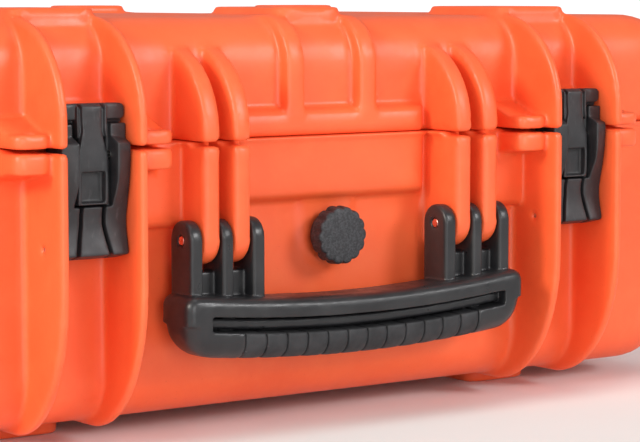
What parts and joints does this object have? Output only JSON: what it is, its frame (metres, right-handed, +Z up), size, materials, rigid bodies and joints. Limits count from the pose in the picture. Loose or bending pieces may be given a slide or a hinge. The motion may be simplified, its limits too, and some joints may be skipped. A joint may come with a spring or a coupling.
{
  "type": "hard equipment case",
  "caption": "Ribbed hard plastic carry case with a hinged lid, draw latches, a swinging front handle and a purge valve.",
  "frame": {"origin": "on the floor under the centre of the closed case's box", "axes": "+Z up, +X to the right seen from the front, +Y to the hinge side"},
  "size_m": [0.546, 0.354, 0.2165],
  "materials": {
    "shell_plastic": "orange moulded plastic with a fine grain",
    "latch_plastic": "black moulded plastic, satin",
    "handle_plastic": "black moulded plastic, satin",
    "grip_rubber": "matte black overmould",
    "steel": "plain steel pin",
    "seal_rubber": "black elastomer",
    "knob_plastic": "black moulded plastic, fine texture",
    "membrane": "white porous membrane"
  },
  "bodies": {
    "base": {"base_shell": "shell_plastic", "base_padlock_lugs": "shell_plastic", "valve_body": "knob_plastic", "valve_o_ring": "seal_rubber", "valve_membrane": "membrane", "valve_nut": "knob_plastic", "handle_pin_left": "steel", "handle_pin_right": "steel", "lever_pin_left": "steel", "lever_pin_right": "steel", "hinge_pin_left": "steel", "hinge_pin_right": "steel"},
    "lid": {"lid_shell": "shell_plastic", "lid_padlock_lugs": "shell_plastic", "lid_gasket": "seal_rubber"},
    "handle": {"handle_frame": "handle_plastic", "handle_grip": "grip_rubber"},
    "knob": {"valve_knob": "knob_plastic"},
    "lever_left": {"latch_lever_left": "latch_plastic", "claw_pin_left": "steel", "claw_spring_left": "steel"},
    "claw_left": {"latch_claw_left": "latch_plastic"},
    "lever_right": {"latch_lever_right": "latch_plastic", "claw_pin_right": "steel", "claw_spring_right": "steel"},
    "claw_right": {"latch_claw_right": "latch_plastic"}
  },
  "joints": [
    {"name": "lid_hinge", "type": "hinge", "parent": "base", "child": "lid", "pos_m": [0, 0.168, 0.1497], "axis": [-1, 0, 0], "range_deg": [0, 100]},
    {"name": "handle_swing", "type": "hinge", "parent": "base", "child": "handle", "pos_m": [0, -0.159, 0.1022], "axis": [-1, 0, 0], "range_deg": [0, 95]},
    {"name": "valve_turn", "type": "hinge", "parent": "base", "child": "knob", "pos_m": [0, -0.146, 0.0985], "axis": [0, -1, 0], "range_deg": [0, 270]},
    {"name": "latch_left", "type": "hinge", "parent": "base", "child": "lever_left", "pos_m": [-0.152, -0.156, 0.102], "axis": [1, 0, 0], "range_deg": [0, 150]},
    {"name": "claw_left", "type": "hinge", "parent": "lever_left", "child": "claw_left", "pos_m": [-0.152, -0.1593, 0.1465], "axis": [1, 0, 0], "range_deg": [0, 12], "stiffness_Nm_per_rad": 0.08, "springref_deg": -8.59},
    {"name": "latch_right", "type": "hinge", "parent": "base", "child": "lever_right", "pos_m": [0.152, -0.156, 0.102], "axis": [1, 0, 0], "range_deg": [0, 150]},
    {"name": "claw_right", "type": "hinge", "parent": "lever_right", "child": "claw_right", "pos_m": [0.152, -0.1593, 0.1465], "axis": [1, 0, 0], "range_deg": [0, 12], "stiffness_Nm_per_rad": 0.08, "springref_deg": -8.59}
  ]
}
